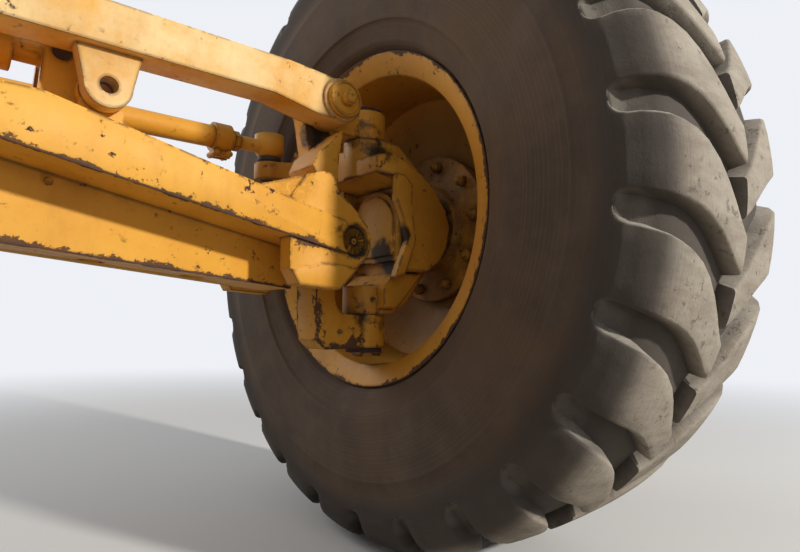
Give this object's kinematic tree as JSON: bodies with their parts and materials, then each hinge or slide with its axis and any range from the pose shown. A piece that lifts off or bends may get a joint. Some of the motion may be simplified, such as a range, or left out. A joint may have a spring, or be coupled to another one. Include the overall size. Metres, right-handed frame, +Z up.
{
  "type": "motor grader front axle with leaning wheels",
  "caption": "Front axle of a motor grader: a steel beam with leaning, steered wheels, a lean bar and its cylinder, and a tie rod.",
  "frame": {"origin": "middle of the centre pivot bore", "axes": "+X towards the machine's left wheel, +Y along the pivot bore towards the machine's rear, +Z up"},
  "size_m": [2.515, 1.3772, 1.3772],
  "materials": {
    "chrome": "polished",
    "paint": "satin",
    "rubber": "matte",
    "steel": "satin",
    "tyre": "matte"
  },
  "bodies": {
    "beam": {"axle_beam": "paint", "lean_pin_left": "steel", "lean_pin_right": "steel", "lean_base_pin": "steel", "lean_barrel": "paint"},
    "lean_bar": {"lean_bar": "paint"},
    "tie_rod": {"tie_rod": "paint", "tie_clamps": "paint", "tie_end_left": "paint"},
    "tie_end_right": {"tie_end_right": "paint"},
    "lean_rod": {"lean_rod": "chrome"},
    "support_left": {"lean_support_left": "paint", "kingpins_left": "steel", "bar_pin_left": "steel"},
    "knuckle_left": {"knuckle_left": "paint", "spindle_cover_left": "paint"},
    "wheel_left": {"hub_left": "paint", "hub_cap_left": "paint", "wheel_bolts_left": "steel", "rim_left": "paint", "tyre_left": "tyre"},
    "tie_stud_left": {"tie_stud_left": "steel", "tie_boot_left": "rubber"},
    "support_right": {"lean_support_right": "paint", "kingpins_right": "steel", "bar_pin_right": "steel"},
    "knuckle_right": {"knuckle_right": "paint", "spindle_cover_right": "paint"},
    "wheel_right": {"hub_right": "paint", "hub_cap_right": "paint", "wheel_bolts_right": "steel", "rim_right": "paint", "tyre_right": "tyre"},
    "tie_stud_right": {"tie_stud_right": "steel", "tie_boot_right": "rubber"}
  },
  "joints": [
    {"name": "lean_left", "type": "hinge", "parent": "beam", "child": "support_left", "pos_m": [0.72, 0, -0.092], "axis": [0, 1, 0], "range_deg": [-18, 18]},
    {"name": "steer_left", "type": "hinge", "parent": "support_left", "child": "knuckle_left", "pos_m": [0.85, 0, 0], "axis": [0, 0, 1], "range_deg": [-50, 50]},
    {"name": "wheel_left_spin", "type": "hinge", "parent": "knuckle_left", "child": "wheel_left", "pos_m": [1.0325, 0, -0.02], "axis": [1, 0, 0], "continuous": true},
    {"name": "lean_right", "type": "hinge", "parent": "beam", "child": "support_right", "pos_m": [-0.72, 0, -0.092], "axis": [0, 1, 0], "range_deg": [-18, 18]},
    {"name": "steer_right", "type": "hinge", "parent": "support_right", "child": "knuckle_right", "pos_m": [-0.85, 0, 0], "axis": [0, 0, 1], "range_deg": [-50, 50]},
    {"name": "wheel_right_spin", "type": "hinge", "parent": "knuckle_right", "child": "wheel_right", "pos_m": [-1.0325, 0, -0.02], "axis": [1, 0, 0], "continuous": true},
    {"name": "lean_bar_pivot", "type": "hinge", "parent": "support_left", "child": "lean_bar", "pos_m": [0.72, -0.066, 0.182], "axis": [0, 1, 0], "range_deg": [-19, 19]},
    {"name": "tie_stud_left_turn", "type": "hinge", "parent": "knuckle_left", "child": "tie_stud_left", "pos_m": [0.765, 0.27, 0.182], "axis": [0, 0, 1], "range_deg": [-56, 56]},
    {"name": "tie_stud_right_turn", "type": "hinge", "parent": "knuckle_right", "child": "tie_stud_right", "pos_m": [-0.765, 0.27, 0.182], "axis": [0, 0, 1], "range_deg": [-56, 56]},
    {"name": "tie_rod_swing", "type": "hinge", "parent": "tie_stud_left", "child": "tie_rod", "pos_m": [0.765, 0.27, 0.182], "axis": [0, 1, 0], "range_deg": [-19, 19]},
    {"name": "tie_end_swing", "type": "hinge", "parent": "tie_stud_right", "child": "tie_end_right", "pos_m": [-0.765, 0.27, 0.182], "axis": [0, 1, 0], "range_deg": [-19, 19]},
    {"name": "lean_rod_slide", "type": "slide", "parent": "beam", "child": "lean_rod", "axis": [-1, 0, 0], "range_m": [-0.09, 0.09]}
  ],
  "couplings": [
    {"joint": "lean_right", "follows": "lean_left", "ratio": 1},
    {"joint": "steer_right", "follows": "steer_left", "ratio": 1},
    {"joint": "lean_bar_pivot", "follows": "lean_left", "ratio": -1},
    {"joint": "tie_stud_left_turn", "follows": "steer_left", "ratio": -1.1},
    {"joint": "tie_stud_right_turn", "follows": "steer_left", "ratio": -1.1},
    {"joint": "tie_rod_swing", "follows": "lean_left", "ratio": -0.92},
    {"joint": "tie_end_swing", "follows": "lean_left", "ratio": -0.92},
    {"joint": "lean_rod_slide", "follows": "lean_left", "m_per_rad": -0.2695}
  ]
}
